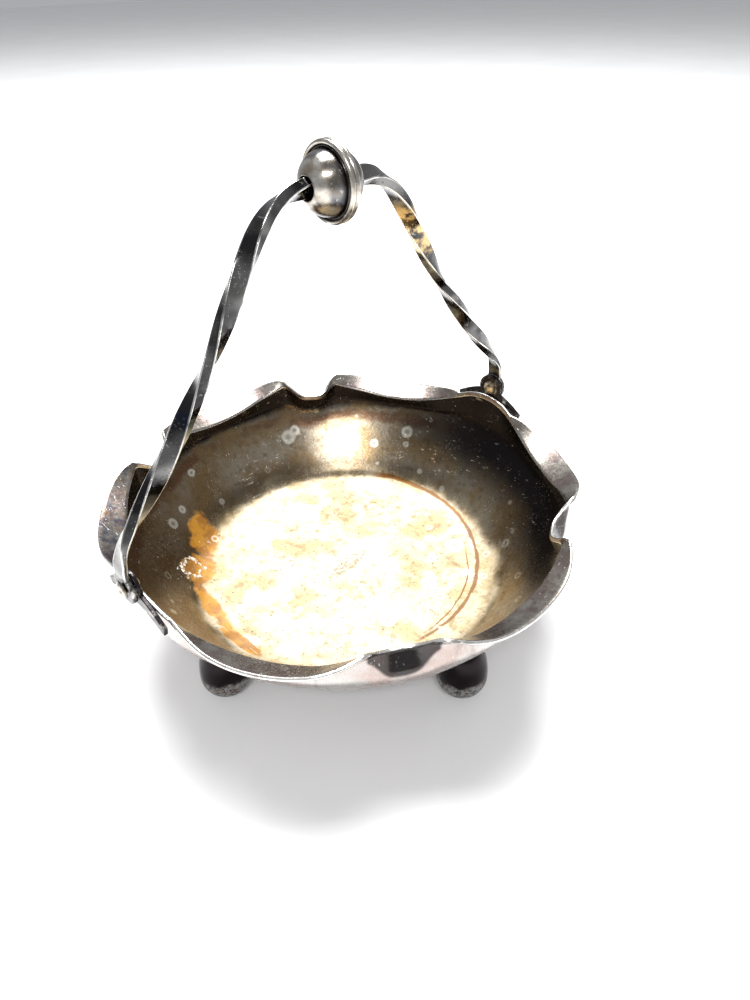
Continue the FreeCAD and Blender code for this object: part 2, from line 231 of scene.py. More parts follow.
def pinch(theta, half=NOTCH_HALF_DEG):
    d = notch_distance(theta)
    if d >= half:
        return 0.0
    return 0.5 + 0.5 * math.cos(math.pi * (d / half) ** NOTCH_FLATNESS)


def draw(theta):
    d = notch_distance(theta)
    if d >= DRAW_HALF_DEG:
        return 0.0
    return 0.5 + 0.5 * math.cos(math.pi * d / DRAW_HALF_DEG)


def lug_flat(theta):
    for centre in LUG_ANGLES:
        d = abs(angle_from(theta, centre))
        if d < LUG_FLAT_HALF_DEG:
            return 0.5 + 0.5 * math.cos(math.pi * d / LUG_FLAT_HALF_DEG)
    return 0.0


def lip_fullness(theta):
    t = abs(folded_angle(theta))
    junction = (round(theta / LOBE_ANGLE) * LOBE_ANGLE) % 360.0
    if junction in LUG_ANGLES:
        return max(0.0, 1.0 - (t / LIP_LUG_DEG) ** 2)
    return max(0.0, 1.0 - (t / LIP_TIP_DEG) ** 2) ** LIP_BLUNT


def control_points(theta):
    s = climb(folded_angle(theta))
    p = pinch(theta)
    foot = pinch(theta, NOTCH_FOOT_HALF_DEG)
    pull = draw(theta)
    flat = lug_flat(theta)
    fold_r = FOLD_MID_R + FOLD_END_DR * s - NOTCH_IN * p - DRAW_IN * pull - LUG_FLAT_IN * flat
    fold_z = FOLD_MID_Z + FOLD_END_DZ * s - NOTCH_DOWN * p - DRAW_DOWN * pull
    full = lip_fullness(theta)
    width = LIP_LEAST + (LIP_WIDTH - LIP_LEAST) * full
    slope = math.radians(LIP_RISE_DEG + (LIP_STAND_DEG - LIP_RISE_DEG) * (1.0 - full) ** 2)
    belly_r = BELLY_R + BELLY_END_DR * s - NOTCH_FOOT_IN * foot - BELLY_FLAT_IN * flat
    belly_z = BELLY_Z - NOTCH_FOOT_DOWN * foot
    run_r = fold_r - belly_r
    run_z = fold_z - belly_z
    length = math.hypot(run_r, run_z)
    back = min(FOLD_BEND / length, BEND_SHARE)
    bend = min(FOLD_BEND, BEND_SHARE * width)
    ahead_r = math.cos(slope)
    ahead_z = math.sin(slope)
    return ((FLOOR_R, FLOOR_Z),
            (FLOOR_BEND_R, FLOOR_Z),
            (WALL_FOOT_R, WALL_FOOT_Z),
            (belly_r, belly_z),
            (fold_r - run_r * back, fold_z - run_z * back),
            (fold_r, fold_z),
            (fold_r + bend * ahead_r, fold_z + bend * ahead_z),
            (fold_r + width * ahead_r, fold_z + width * ahead_z))


def halfway(a, b):
    return ((a[0] + b[0]) / 2.0, (a[1] + b[1]) / 2.0)


def profile(theta, u):
    c = control_points(theta)
    spans = len(c) - 2
    x = min(max(u, 0.0), 1.0) * spans
    i = min(int(x), spans - 1)
    f = x - i
    first = c[i] if i == 0 else halfway(c[i], c[i + 1])
    last = c[i + 2] if i == spans - 1 else halfway(c[i + 1], c[i + 2])
    middle = c[i + 1]
    w = ((1.0 - f) ** 2, 2.0 * f * (1.0 - f), f * f)
    return (w[0] * first[0] + w[1] * middle[0] + w[2] * last[0],
            w[0] * first[1] + w[1] * middle[1] + w[2] * last[1])


def inside_point(theta, u):
    r, z = profile(theta, u)
    a = math.radians(theta)
    return Vector((r * math.cos(a), r * math.sin(a), z))


def sheet_normal(theta, u):
    """Unit vector through the sheet, away from the hollow."""
    if u <= 0.0:
        return Vector((0.0, 0.0, -1.0))
    low = max(u - 0.0005, 0.0)
    high = min(u + 0.0005, 1.0)
    along = inside_point(theta + 0.05, u) - inside_point(theta - 0.05, u)
    up = inside_point(theta, high) - inside_point(theta, low)
    return along.cross(up).normalized()


ROWS_PER_SPAN = (10, 14, 16, 10, 9, 10)


def row_parameters():
    spans = len(ROWS_PER_SPAN)
    values = []
    for i, rows in enumerate(ROWS_PER_SPAN):
        values += [(i + j / rows) / spans for j in range(rows)]
    return values + [1.0]


def column_angles():
    """Every 1.0 degree, and every 0.4 degree near a junction."""
    angles = []
    for k in range(6):
        base = k * LOBE_ANGLE
        angles += [base + 0.4 * i for i in range(25)]
        angles += [base + 10.0 + i for i in range(40)]
        angles += [base + 50.0 + 0.4 * i for i in range(25)]
    return angles


def new_object(name, verts, faces, smooth=True):
    mesh = bpy.data.meshes.new(name)
    mesh.from_pydata([(v[0] * MM, v[1] * MM, v[2] * MM) for v in verts], [], faces)
    mesh.update()
    if smooth:
        mesh.shade_smooth()
    obj = bpy.data.objects.new(name, mesh)
    bpy.context.scene.collection.objects.link(obj)
    return obj


def set_attribute(obj, name, values):
    layer = obj.data.attributes.new(name, "FLOAT", "POINT")
    layer.data.foreach_set("value", values)


def make_bowl():
    rows = row_parameters()
    angles = column_angles()
    count = len(angles)
    rings = []
    tags = []
    floor_steps = 16
    for j in range(1, floor_steps):
        r = FLOOR_R * j / floor_steps
        rings.append([Vector((r * math.cos(math.radians(a)), r * math.sin(math.radians(a)), FLOOR_Z))
                      for a in angles])
        tags.append((0.0, 0.0))
    for u in rows:
        rings.append([inside_point(a, u) for a in angles])
        tags.append((u, 0.0))
    edge_steps = 5
    ends = [(inside_point(a, 1.0), sheet_normal(a, 1.0), inside_point(a, 1.0) - inside_point(a, 0.98))
            for a in angles]
    for j in range(1, edge_steps):
        turn = math.pi * j / edge_steps
        ring = []
        for point, through, ahead in ends:
            middle = point + through * (SHEET / 2.0)
            ring.append(middle - through * (math.cos(turn) * SHEET / 2.0)
                        + ahead.normalized() * (math.sin(turn) * 0.3))
        rings.append(ring)
        tags.append((1.0, j / edge_steps))
    for u in reversed(rows):
        rings.append([inside_point(a, u) + sheet_normal(a, u) * SHEET for a in angles])
        tags.append((u, 1.0))
    for j in range(floor_steps - 1, 0, -1):
        r = FLOOR_R * j / floor_steps
        rings.append([Vector((r * math.cos(math.radians(a)), r * math.sin(math.radians(a)), FLOOR_Z - SHEET))
                      for a in angles])
        tags.append((0.0, 1.0))
    verts = [Vector((0, 0, FLOOR_Z))]
    for ring in rings:
        verts += ring
    verts.append(Vector((0, 0, FLOOR_Z - SHEET)))
    faces = []
    for i in range(count):
        n = (i + 1) % count
        faces.append((0, 1 + i, 1 + n))
    for k in range(len(rings) - 1):
        a = 1 + k * count
        b = a + count
        for i in range(count):
            n = (i + 1) % count
            faces.append((a + i, b + i, b + n, a + n))
    last = 1 + (len(rings) - 1) * count
    end = len(verts) - 1
    for i in range(count):
        n = (i + 1) % count
        faces.append((last + i, end, last + n))
    obj = new_object("bowl_sheet", verts, faces)
    height = [0.0] + [tag[0] for tag in tags for _ in angles] + [0.0]
    side = [0.0] + [tag[1] for tag in tags for _ in angles] + [1.0]
    notch = [0.0] + [pinch(a) for _ in tags for a in angles] + [0.0]
    set_attribute(obj, "height", height)
    set_attribute(obj, "outside", side)
    set_attribute(obj, "notch", notch)
    return obj


def spline_points(points, steps):
    """Smooth line through the points, with this many steps between neighbours."""
    out = []
    n = len(points)
    for i in range(n - 1):
        a = points[max(i - 1, 0)]
        b = points[i]
        c = points[i + 1]
        d = points[min(i + 2, n - 1)]
        for j in range(steps):
            t = j / steps
            out.append(0.5 * ((2 * b) + (c - a) * t + (2 * a - 5 * b + 4 * c - d) * t ** 2
                              + (3 * b - a - 3 * c + d) * t ** 3))
    out.append(points[-1])
    return out


def even_points(line, step):
    """The line's points, moved to an even spacing."""
    total = [0.0]
    for a, b in zip(line, line[1:]):
        total.append(total[-1] + (b - a).length)
    count = int(round(total[-1] / step))
    out = []
    k = 0
    for i in range(count + 1):
        want = total[-1] * i / count
        while k < len(line) - 2 and total[k + 1] < want:
            k += 1
        f = (want - total[k]) / max(total[k + 1] - total[k], 1e-9)
        out.append(line[k].lerp(line[k + 1], min(max(f, 0.0), 1.0)))
    return out, total[-1]


def smooth_step(x):
    x = min(max(x, 0.0), 1.0)
    return x * x * (3.0 - 2.0 * x)


def rounded_outline(a, b, radius, steps=4):
    """Rectangle 2a by 2b with round corners, as (x, y, 1 on a corner or 0 on a flat)."""
    radius = min(radius, 0.9 * min(a, b))
    corners = ((a - radius, b - radius, 0), (-a + radius, b - radius, 90),
               (-a + radius, -b + radius, 180), (a - radius, -b + radius, 270))
    out = []
    for k, (cx, cy, start) in enumerate(corners):
        for i in range(steps + 1):
            w = math.radians(start + 90.0 * i / steps)
            out.append((cx + radius * math.cos(w), cy + radius * math.sin(w), 1.0))
        w = math.radians(start + 90.0)
        nx, ny = cx + radius * math.cos(w), cy + radius * math.sin(w)
        fx, fy, _ = corners[(k + 1) % 4]
        fx, fy = fx + radius * math.cos(w), fy + radius * math.sin(w)
        for share in (0.07, 0.5, 0.93):
            out.append((nx + (fx - nx) * share, ny + (fy - ny) * share, 0.0))
    return out


def make_bar():
    right = [Vector((r, 0, z)) for r, z in ARM_PATH]
    left = [Vector((-r, 0, z)) for r, z in ARM_PATH[:-1]]
    line, length = even_points(spline_points(left + right[::-1], 24), 0.7)
    verts, corner = [], []
    count = 0
    for i, centre in enumerate(line):
        along = (line[min(i + 1, len(line) - 1)] - line[max(i - 1, 0)]).normalized()
        side = Vector((0, 1, 0))
        out = side.cross(along).normalized()
        run = length * i / (len(line) - 1)
        near = min(run, length - run)
        full = smooth_step((near - BAR_FLAT_RUN) / BAR_BLEND_RUN)
        turn = min(max((run - BAR_FLAT_RUN) / (length - 2.0 * BAR_FLAT_RUN), 0.0), 1.0)
        twist = 2.0 * math.pi * BAR_TURNS * turn
        wide = side * math.cos(twist) + out * math.sin(twist)
        thin = out * math.cos(twist) - side * math.sin(twist)
        a = (BAR_END_WIDE + (BAR_WIDE - BAR_END_WIDE) * full) / 2.0
        b = (BAR_END_THIN + (BAR_THIN - BAR_END_THIN) * full) / 2.0
        outline = rounded_outline(a, b, BAR_CORNER)
        count = len(outline)
        for x, y, c in outline:
            verts.append(centre + wide * x + thin * y)
            corner.append(c)
    faces = []
    for k in range(len(line) - 1):
        for i in range(count):
            n = (i + 1) % count
            faces.append((k * count + i, k * count + n, (k + 1) * count + n, (k + 1) * count + i))
    faces.append(tuple(range(count - 1, -1, -1)))
    top = (len(line) - 1) * count
    faces.append(tuple(top + i for i in range(count)))
    obj = outward_normals(new_object("handle_twisted_bar", verts, faces))
    set_attribute(obj, "edge", corner)
    return obj


def turned_body(name, outline, segments, axis="Z"):
    """Closed body of revolution; outline is a row of (radius, height) points."""
    verts, faces, rings = [], [], []
    for r, h in outline:
        start = len(verts)
        if r < 1e-6:
            verts.append(Vector((0, 0, h)))
            rings.append([start])
            continue
        for i in range(segments):
            a = 2.0 * math.pi * i / segments
            verts.append(Vector((r * math.cos(a), r * math.sin(a), h)))
        rings.append(list(range(start, start + segments)))
    pairs = list(zip(rings, rings[1:]))
    if len(rings[0]) > 1 or len(rings[-1]) > 1:
        pairs.append((rings[-1], rings[0]))
    for low, high in pairs:
        for i in range(segments):
            n = (i + 1) % segments
            if len(low) == 1:
                faces.append((low[0], high[n], high[i]))
            elif len(high) == 1:
                faces.append((low[i], low[n], high[0]))
            else:
                faces.append((low[i], low[n], high[n], high[i]))
    if axis == "X":
        turn = Matrix.Rotation(math.pi / 2.0, 3, "Y")
        verts = [turn @ v for v in verts]
    return new_object(name, verts, faces)


def outward_normals(obj):
    """Turns every face of a closed mesh outward."""
    mesh = bmesh.new()
    mesh.from_mesh(obj.data)
    bmesh.ops.recalc_face_normals(mesh, faces=mesh.faces)
    mesh.to_mesh(obj.data)
    mesh.free()
    return obj


def shifted(obj, x, y, z):
    obj.data.transform(Matrix.Translation((x * MM, y * MM, z * MM)))
    return obj


def other_side(obj):
    """Turns a piece made for the +X side to the -X side."""
    obj.data.transform(Matrix.Rotation(math.pi, 4, "Z"))
    return obj


def skin_height(r, angle):
    """Height of the bowl's outer skin at this distance from the middle."""
    if r <= FLOOR_R:
        return FLOOR_Z - SHEET
    low, high = 0.0, 0.5
    for _ in range(18):
        u = (low + high) / 2.0
        p = inside_point(angle, u) + sheet_normal(angle, u) * SHEET
        if math.hypot(p.x, p.y) < r:
            low = u
        else:
            high = u
    return p.z


def make_foot(number, angle):
    """Ball foot, its top shaped to the bowl's skin."""
    centre_z = FOOT_BALL_R - FOOT_FLAT
    start = math.asin(centre_z / FOOT_BALL_R)
    outline = [(0.0, 0.0)]
    for i in range(21):
        a = start * (1.0 - i / 20.0)
        outline.append((FOOT_BALL_R * math.cos(a), centre_z - FOOT_BALL_R * math.sin(a)))
    for i in range(1, 31):
        a = math.radians(86.0) * i / 30.0
        outline.append((FOOT_BALL_R * math.cos(a), centre_z + FOOT_SHOULDER * math.sin(a)))
    outline.append((0.0, centre_z + FOOT_SHOULDER))
    obj = turned_body("foot_ball_%d" % number, outline, 72)
    turn = math.radians(angle)
    shifted(obj, FOOT_RING_R * math.cos(turn), FOOT_RING_R * math.sin(turn), 0.0)
    for vertex in obj.data.vertices:
        x, y, z = vertex.co / MM
        if z > centre_z:
            top = skin_height(math.hypot(x, y), math.degrees(math.atan2(y, x))) - SOLDER_GAP
            vertex.co.z = min(z, top) * MM
    return outward_normals(obj)


def make_solder_collar(number, angle):
    """Thin uneven ring of solder where a foot meets the bowl."""
    verts, faces = [], []
    around, across = 96, 8
    turn = math.radians(angle)
    middle = Vector((FOOT_RING_R * math.cos(turn), FOOT_RING_R * math.sin(turn), 0.0))
    for i in range(around):
        a = 2.0 * math.pi * i / around
        way = Vector((math.cos(a), math.sin(a), 0.0))
        reach = FOOT_BALL_R
        for _ in range(12):
            p = middle + way * reach
            z = skin_height(math.hypot(p.x, p.y), math.degrees(math.atan2(p.y, p.x)))
            part = min(max((z - FOOT_BALL_R) / FOOT_SHOULDER, 0.0), 0.999)
            reach = FOOT_BALL_R * math.sqrt(1.0 - part ** 2)
        size = COLLAR_R * (1.0 + 0.35 * noise.noise(way * 2.3 + middle))
        for j in range(across):
            b = 2.0 * math.pi * j / across
            p = middle + way * (reach + size * 0.8 * math.cos(b))
            z = skin_height(math.hypot(p.x, p.y), math.degrees(math.atan2(p.y, p.x)))
            verts.append(Vector((p.x, p.y, z - size * (0.9 - 0.9 * math.sin(b)))))
    for i in range(around):
        n = (i + 1) % around
        for j in range(across):
            m = (j + 1) % across
            faces.append((i * across + j, n * across + j, n * across + m, i * across + m))
    return outward_normals(new_object("foot_solder_%d" % number, verts, faces))


def bevelled(obj, width, segments=3):
    modifier = obj.modifiers.new("soft_edges", "BEVEL")
    modifier.width = width * MM
    modifier.segments = segments
    modifier.limit_method = "ANGLE"
    modifier.angle_limit = math.radians(35.0)
    modifier.harden_normals = True
    return obj


def plate_outline():
    """The lug's outline in the YZ plane: a round ear on two tapering wings."""
    right = [Vector((0, y, z)) for y, z in WING]
    points = spline_points(right[:3], 6) + spline_points(right[2:4], 3)[1:] + spline_points(right[3:], 6)[1:]
    left = [Vector((0, -p.y, p.z)) for p in reversed(points)]
    ear = []
    start = math.atan2(WING[0][1] - PIVOT_Z, WING[0][0])
    steps = 30
    for i in range(1, steps):
        a = (math.pi - start) + (2.0 * start - math.pi) * i / steps
        ear.append(Vector((0, EAR_R * math.cos(a), PIVOT_Z + EAR_R * math.sin(a))))
    return points + left + ear


def make_lug(name, side):
    outline = plate_outline()
    count = len(outline)
    verts = [Vector((LUG_FACE_X, p.y, p.z)) for p in outline]
    verts += [Vector((LUG_FACE_X + LUG_THICK, p.y, p.z)) for p in outline]
    faces = [tuple(range(count)), tuple(range(2 * count - 1, count - 1, -1))]
    for i in range(count):
        n = (i + 1) % count
        faces.append((i, n, n + count, i + count))
    obj = bevelled(outward_normals(new_object(name, verts, faces, False)), 0.28)
    return obj if side > 0 else other_side(obj)


def make_lug_solder(name, side):
    """Ragged bead of solder along the joint between the lug and the rim."""
    verts, faces = [], []
    steps, across = 60, 8
    for i in range(steps + 1):
        y = LUG_SOLDER_HALF * (2.0 * i / steps - 1.0)
        theta = math.degrees(math.atan2(y, LUG_FACE_X))
        rim = inside_point(theta, 1.0) + sheet_normal(theta, 1.0) * SHEET
        size = 0.55 * (1.0 + 0.5 * noise.noise(Vector((y * 0.7, side * 3.1, 0.0))))
        size *= math.sqrt(max(1.0 - (2.0 * i / steps - 1.0) ** 2, 0.02))
        for j in range(across):
            b = 2.0 * math.pi * j / across
            x = (rim.x + LUG_FACE_X) / 2.0 + size * 0.7 * math.cos(b)
            verts.append(Vector((min(x, LUG_FACE_X + 0.3), y, rim.z - 0.25 + size * 0.8 * math.sin(b))))
    for i in range(steps):
        for j in range(across):
            m = (j + 1) % across
            faces.append((i * across + j, i * across + m, (i + 1) * across + m, (i + 1) * across + j))
    faces.append(tuple(range(across)))
    faces.append(tuple(steps * across + j for j in range(across)))
    obj = outward_normals(new_object(name, verts, faces))
    return obj if side > 0 else other_side(obj)


def make_rivet(name, side):
    """Rivet with a hand-struck domed head on both sides."""
    inner = LUG_FACE_X - 0.02
    outer = LUG_FACE_X + LUG_THICK + EYE_GAP + EYE_THICK + HEAD_PLAY
    ball_r = (HEAD_R ** 2 + HEAD_H ** 2) / (2.0 * HEAD_H)
    spread = math.asin(HEAD_R / ball_r)
    outline = []
    for i in range(13):
        a = spread * i / 12.0
        outline.append((ball_r * math.sin(a), inner - HEAD_H + ball_r * (1.0 - math.cos(a))))
    outline.append((RIVET_R, inner))
    outline.append((RIVET_R, outer))
    for i in range(12, -1, -1):
        a = spread * i / 12.0
        outline.append((ball_r * math.sin(a), outer + HEAD_H - ball_r * (1.0 - math.cos(a))))
    obj = outward_normals(turned_body(name, outline, 48, "X"))
    shifted(obj, 0.0, 0.0, PIVOT_Z)
    return obj if side > 0 else other_side(obj)


def make_eye(name, side):
    """Flat ring at the foot of the handle, round the rivet."""
    inner = LUG_FACE_X + LUG_THICK + EYE_GAP
    hole = RIVET_R + 0.06
    soft = 0.22
    outline = [(hole, inner), (EYE_R - soft, inner), (EYE_R - soft * 0.3, inner + soft * 0.3),
               (EYE_R, inner + soft), (EYE_R, inner + EYE_THICK - soft),
               (EYE_R - soft * 0.3, inner + EYE_THICK - soft * 0.3),
               (EYE_R - soft, inner + EYE_THICK), (hole, inner + EYE_THICK)]
    obj = outward_normals(turned_body(name, outline, 56, "X"))
    shifted(obj, 0.0, 0.0, PIVOT_Z)
    return obj if side > 0 else other_side(obj)


def make_bead_half(name, side):
    """Stamped dome with a groove and a rolled flange."""
    outline = []
    start = math.asin(BEAD_HOLE_R / BEAD_DOME_R)
    end = math.acos(1.1 / BEAD_DOME_H)
    for i in range(25):
        a = start + (end - start) * i / 24.0
        outline.append((BEAD_DOME_R * math.sin(a), BEAD_DOME_H * math.cos(a)))
    outline += [(BEAD_DOME_R + 0.12, 0.82), (BEAD_DOME_R + 0.3, 0.8), (BEAD_DOME_R + 0.42, 1.02)]
    for i in range(9):
        a = math.pi * (0.85 - 0.85 * i / 8.0)
        outline.append((BEAD_R - BEAD_EDGE_R + BEAD_EDGE_R * math.cos(a),
                        BEAD_EDGE_R + BEAD_SEAM + BEAD_EDGE_R * math.sin(a)))
    outline.append((BEAD_R - 0.1, BEAD_SEAM + 0.2))
    outline.append((BEAD_R - 0.3, BEAD_SEAM))
    outline.append((BEAD_DOME_R - BEAD_SKIN, BEAD_SEAM))
    inner_start = math.asin(BEAD_HOLE_R / (BEAD_DOME_R - BEAD_SKIN))
    for i in range(1, 17):
        a = math.pi / 2.0 + (inner_start - math.pi / 2.0) * i / 16.0
        outline.append(((BEAD_DOME_R - BEAD_SKIN) * math.sin(a),
                        max((BEAD_DOME_H - BEAD_SKIN) * math.cos(a), BEAD_SEAM)))
    obj = outward_normals(turned_body(name, outline, 96, "X"))
    shifted(obj, 0.0, 0.0, BEAD_Z)
    return obj if side > 0 else other_side(obj)


# ================================ materials ====================================

class Paint:
    """One procedural material; lengths inside it are millimetres in the part's frame."""

    def __init__(self, name):
        self.material = bpy.data.materials.new(name)
        self.material.use_nodes = True
        self.tree = self.material.node_tree
        self.shader = self.tree.nodes["Principled BSDF"]
        coords = self.tree.nodes.new("ShaderNodeTexCoord")
        scaled = self.tree.nodes.new("ShaderNodeVectorMath")
        scaled.operation = "SCALE"
        scaled.inputs["Scale"].default_value = 1.0 / MM
        self.tree.links.new(coords.outputs["Object"], scaled.inputs[0])
        self.place = scaled.outputs[0]
        parts = self.tree.nodes.new("ShaderNodeSeparateXYZ")
        self.tree.links.new(self.place, parts.inputs[0])
        self.x, self.y, self.z = parts.outputs

    def put(self, socket, value):
        if isinstance(value, bpy.types.NodeSocket):
            self.tree.links.new(value, socket)
        elif isinstance(value, tuple) and len(value) == 3 and socket.type == "RGBA":
            socket.default_value = (*value, 1.0)
        else:
            socket.default_value = value

    def math(self, operation, a, b=0.0):
        node = self.tree.nodes.new("ShaderNodeMath")
        node.operation = operation
        self.put(node.inputs[0], a)
        self.put(node.inputs[1], b)
        return node.outputs[0]

    def add(self, a, b):
        return self.math("ADD", a, b)

    def times(self, a, b):
        return self.math("MULTIPLY", a, b)

    def most(self, a, b):
        return self.math("MAXIMUM", a, b)

    def attribute(self, name):
        node = self.tree.nodes.new("ShaderNodeAttribute")
        node.attribute_name = name
        return node.outputs["Fac"]

    def moved(self, offset, stretch=(1.0, 1.0, 1.0)):
        node = self.tree.nodes.new("ShaderNodeMapping")
        node.inputs["Location"].default_value = offset
        node.inputs["Scale"].default_value = stretch
        self.put(node.inputs["Vector"], self.place)
        return node.outputs[0]

    def noise(self, size, seed=0.0, detail=3.0, rough=0.55, stretch=(1.0, 1.0, 1.0), bend=0.0):
        node = self.tree.nodes.new("ShaderNodeTexNoise")
        self.put(node.inputs["Vector"], self.moved((seed * 31.7, seed * 17.3, seed * 7.9), stretch))
        node.inputs["Scale"].default_value = 1.0 / size
        node.inputs["Detail"].default_value = detail
        node.inputs["Roughness"].default_value = rough
        node.inputs["Distortion"].default_value = bend
        return node.outputs[0]

    def cells(self, size, seed=0.0):
        """Distance to the nearest of scattered points, and a random number for it."""
        node = self.tree.nodes.new("ShaderNodeTexVoronoi")
        self.put(node.inputs["Vector"], self.moved((seed * 13.1, seed * 5.7, seed * 3.3)))
        node.inputs["Scale"].default_value = 1.0 / size
        pick = self.tree.nodes.new("ShaderNodeSeparateColor")
        self.tree.links.new(node.outputs["Color"], pick.inputs[0])
        return node.outputs["Distance"], pick.outputs[0]

    def rise(self, value, low, high, start=0.0, end=1.0):
        """Smooth change from start to end as value goes from low to high."""
        node = self.tree.nodes.new("ShaderNodeMapRange")
        node.interpolation_type = "SMOOTHSTEP"
        self.put(node.inputs["Value"], value)
        node.inputs["From Min"].default_value = low
        node.inputs["From Max"].default_value = high
        node.inputs["To Min"].default_value = start
        node.inputs["To Max"].default_value = end
        return node.outputs["Result"]

    def band(self, value, low, high, soft):
        """1 between low and high, fading to 0 over soft on both sides."""
        return self.times(self.rise(value, low - soft, low), self.rise(value, high, high + soft, 1.0, 0.0))

    def blend(self, amount, first, second):
        node = self.tree.nodes.new("ShaderNodeMix")
        node.data_type = "RGBA"
        self.put(node.inputs["Factor"], amount)
        self.put(node.inputs[6], first)
        self.put(node.inputs[7], second)
        return node.outputs[2]

    def spot_distance(self, x, y, long=1.0, wide=1.0, turn=0.0):
        """Distance in the XY plane from a point, stretched to an oval."""
        c, s = math.cos(math.radians(turn)), math.sin(math.radians(turn))
        dx = self.add(self.x, -x)
        dy = self.add(self.y, -y)
        a = self.times(self.add(self.times(dx, c), self.times(dy, s)), 1.0 / long)
        b = self.times(self.add(self.times(dx, -s), self.times(dy, c)), 1.0 / wide)
        return self.math("SQRT", self.add(self.times(a, a), self.times(b, b)))

    def distance_to(self, x, y, z):
        node = self.tree.nodes.new("ShaderNodeVectorMath")
        node.operation = "DISTANCE"
        self.put(node.inputs[0], self.place)
        node.inputs[1].default_value = (x, y, z)
        return node.outputs["Value"]

    def radius(self):
        return self.math("SQRT", self.add(self.times(self.x, self.x), self.times(self.y, self.y)))

    def toward(self, degrees):
        """Cosine of the angle between a point's direction from the axis and this azimuth."""
        a = math.radians(degrees)
        along = self.add(self.times(self.x, math.cos(a)), self.times(self.y, math.sin(a)))
        return self.math("DIVIDE", along, self.most(self.radius(), 0.1))

    def finish(self, colour, metallic, roughness, height=None, depth=0.05):
        self.put(self.shader.inputs["Base Color"], colour)
        self.put(self.shader.inputs["Metallic"], metallic)
        self.put(self.shader.inputs["Roughness"], roughness)
        if height is not None:
            bump = self.tree.nodes.new("ShaderNodeBump")
            bump.inputs["Strength"].default_value = 1.0
            bump.inputs["Distance"].default_value = depth * MM
            self.put(bump.inputs["Height"], height)
            self.tree.links.new(bump.outputs[0], self.shader.inputs["Normal"])
        return self.material


def scratches(paint, seed):
    """Fine lines in several directions, 1 on a line."""
    lines = 0.0
    for k, stretch in enumerate(((0.06, 1.0, 1.0), (1.0, 0.07, 1.0), (0.6, 0.08, 0.3))):
        fine = paint.noise(0.35, seed + k, 1.0, 0.4, stretch, 0.15)
        patch = paint.rise(paint.noise(9.0, seed + k + 5.0), 0.5, 0.62)
        line = paint.times(paint.rise(fine, 0.69, 0.74), patch)
        lines = line if k == 0 else paint.most(lines, line)
    return lines


def floor_film(paint):
    """Cream film with tan clouds, pale patches and dark specks."""
    cloud = paint.noise(14.0, 1.0, 4.0, 0.6)
    small = paint.noise(3.0, 2.0, 4.0, 0.65)
    colour = paint.blend(paint.rise(cloud, 0.40, 0.62), FILM_LIGHT, FILM_TAN)
    colour = paint.blend(paint.times(paint.rise(small, 0.50, 0.66), 0.65), colour, FILM_BROWN)
    pale = paint.rise(paint.noise(11.0, 3.0, 3.0, 0.5), 0.52, 0.66)
    colour = paint.blend(paint.times(pale, 0.7), colour, FILM_PALE)
    far, pick = paint.cells(1.3, 1.0)
    speck = paint.times(paint.rise(far, 0.12, 0.30, 1.0, 0.0), paint.rise(pick, 0.72, 0.78))
    colour = paint.blend(paint.times(speck, 0.8), colour, SPECK)
    grit = paint.rise(paint.noise(0.8, 4.0, 3.0, 0.7), 0.54, 0.68)
    return paint.blend(paint.times(grit, 0.65), colour, FILM_BROWN), small


def wall_tarnish_and_painted_shade(paint, height):
    """Brown to grey tarnish with a copper-coloured band; near-black toward the rim and on one side as painted dark
    reflection, and a band of painted shade low on the back wall.
    """
    cloud = paint.noise(12.0, 6.0, 4.0, 0.6)
    fine = paint.noise(2.2, 7.0, 4.0, 0.65)
    colour = paint.blend(paint.rise(cloud, 0.38, 0.62), WALL_BROWN, WALL_GREY)
    colour = paint.blend(paint.times(paint.rise(fine, 0.5, 0.7), 0.5), colour, WALL_DEEP)
    amber_side = paint.rise(paint.toward(150.0), 0.35, 0.98)
    colour = paint.blend(paint.times(amber_side, 0.55), colour, WALL_AMBER)
    uneven = paint.add(height, paint.times(paint.add(cloud, -0.5), 0.10))
    copper = paint.times(paint.band(uneven, 0.385, 0.405, 0.025), paint.rise(cloud, 0.35, 0.55))
    colour = paint.blend(paint.times(copper, 0.8), colour, COPPER)
    # painted shade: darker band low on the back wall, between the floor and the highlight
    low_back_shade = paint.times(paint.band(height, 0.10, 0.20, 0.07), paint.rise(paint.toward(60.0), 0.2, 0.8))
    colour = paint.blend(paint.times(low_back_shade, 0.75), colour, WALL_DEEP)
    # painted dark reflection: the upper wall and the side toward -28 degrees are painted near-black
    shade_side = paint.rise(paint.toward(-28.0), 0.25, 0.92)
    low = paint.rise(uneven, 0.20, 0.36)
    dark = paint.most(paint.rise(uneven, 0.405, 0.47), paint.times(shade_side, low))
    return paint.blend(dark, colour, WALL_BLACK), dark


def lip_tarnish(paint):
    """Grey plate with mauve, brown and blue patches."""
    cloud = paint.noise(7.0, 9.0, 4.0, 0.6)
    colour = paint.blend(paint.rise(cloud, 0.40, 0.60), LIP_GREY, LIP_MAUVE)
    spots = paint.rise(paint.noise(2.4, 10.0, 4.0, 0.7), 0.52, 0.66)
    colour = paint.blend(paint.times(spots, 0.6), colour, LIP_BROWN)
    strong = paint.rise(paint.toward(150.0), 0.86, 0.97)
    blue = paint.times(paint.rise(paint.noise(5.0, 11.0, 4.0, 0.65), 0.46, 0.66), strong)
    colour = paint.blend(paint.times(blue, 0.75), colour, LIP_BLUE)
    rust = paint.times(paint.rise(paint.noise(2.2, 12.0, 4.0, 0.7), 0.54, 0.66), strong)
    return paint.blend(paint.times(rust, 0.7), colour, LIP_RUST)


